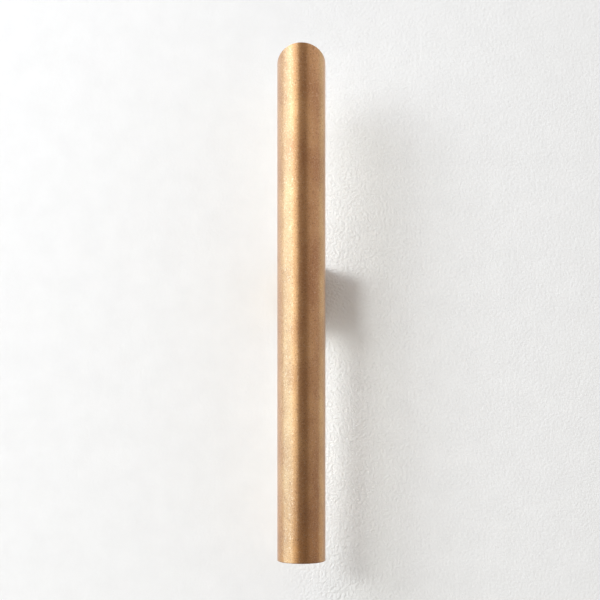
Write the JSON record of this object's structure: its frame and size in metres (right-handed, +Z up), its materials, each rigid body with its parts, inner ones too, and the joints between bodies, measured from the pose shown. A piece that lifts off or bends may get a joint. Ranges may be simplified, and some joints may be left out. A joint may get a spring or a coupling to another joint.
{
  "type": "up and down wall light",
  "caption": "Slim brass tube held off the wall by a small box, its top cut on a slant towards the wall, with a twist-lock reflector lamp facing up and another facing down.",
  "frame": {"origin": "on the wall plane, at the middle of the mounting box's footprint and of the two wall screws", "axes": "+Y into the wall, +Z up, +X to the right of someone who faces the light; the tube runs along Z"},
  "size_m": [0.0572, 0.1016, 0.6096],
  "materials": {
    "raw_brass": "raw brass, satin, with a fine mottled patina",
    "brass_fixings": "turned brass, satin",
    "zinc_steel": "sheet steel, zinc plated",
    "steel_fixings": "zinc-plated steel fasteners",
    "black_rubber": "moulded rubber, matte",
    "white_nylon": "moulded nylon, natural white",
    "terminal_brass": "turned brass, bright",
    "brown_insulation": "silicone rubber insulation, brown",
    "blue_insulation": "silicone rubber insulation, blue",
    "earth_insulation": "silicone rubber insulation, green with yellow",
    "tinned_copper": "tinned copper, dull bright",
    "steatite": "pressed steatite, unglazed",
    "nickel_contacts": "nickel-plated strip",
    "lamp_white": "moulded heat-conducting plastic, white",
    "lamp_lens": "frosted polycarbonate",
    "lamp_pins": "nickel-plated, turned",
    "plain_aluminium": "stamped aluminium, plain",
    "board_white": "solder mask, white",
    "led_phosphor": "silicone over phosphor, yellow",
    "board_green": "solder mask, green"
  },
  "bodies": {
    "fixture": {"outer_tube": "raw_brass", "mounting_box": "raw_brass", "wall_bracket": "zinc_steel", "box_lock_screws": "brass_fixings", "tube_clamp_screws": "steel_fixings", "tube_clamp_washers": "steel_fixings", "carrier_nuts": "steel_fixings", "lamp_carrier": "zinc_steel", "wire_grommet": "black_rubber", "terminal_block_body": "white_nylon", "terminal_tubes": "terminal_brass", "terminal_wire_screws": "steel_fixings", "terminal_block_screws": "steel_fixings", "upper_live_lead": "brown_insulation", "upper_neutral_lead": "blue_insulation", "lower_live_lead": "brown_insulation", "lower_neutral_lead": "blue_insulation", "earth_lead": "earth_insulation", "earth_tag": "tinned_copper", "earth_screw": "steel_fixings", "lead_clips": "white_nylon", "upper_lampholder_front": "steatite", "upper_lampholder_ring": "steatite", "upper_lampholder_rear": "steatite", "upper_lampholder_contacts": "nickel_contacts", "upper_lampholder_screws": "steel_fixings", "upper_lampholder_nuts": "steel_fixings", "lower_lampholder_front": "steatite", "lower_lampholder_ring": "steatite", "lower_lampholder_rear": "steatite", "lower_lampholder_contacts": "nickel_contacts", "lower_lampholder_screws": "steel_fixings", "lower_lampholder_nuts": "steel_fixings"},
    "upper_lamp": {"upper_lamp_shell": "lamp_white", "upper_lamp_lens": "lamp_lens", "upper_lamp_base": "lamp_white", "upper_lamp_pins": "lamp_pins", "upper_lamp_led_plate": "plain_aluminium", "upper_lamp_led_board": "board_white", "upper_lamp_led_chips": "led_phosphor", "upper_lamp_driver": "board_green"},
    "lower_lamp": {"lower_lamp_shell": "lamp_white", "lower_lamp_lens": "lamp_lens", "lower_lamp_base": "lamp_white", "lower_lamp_pins": "lamp_pins", "lower_lamp_led_plate": "plain_aluminium", "lower_lamp_led_board": "board_white", "lower_lamp_led_chips": "led_phosphor", "lower_lamp_driver": "board_green"}
  },
  "joints": [
    {"name": "upper_lamp_twist", "type": "hinge", "parent": "fixture", "child": "upper_lamp", "pos_m": [0, -0.07303, 0.18264], "axis": [0, 0, 1], "range_deg": [0, 45]},
    {"name": "lower_lamp_twist", "type": "hinge", "parent": "fixture", "child": "lower_lamp", "pos_m": [0, -0.07303, -0.2485], "axis": [0, 0, -1], "range_deg": [0, 45]}
  ]
}
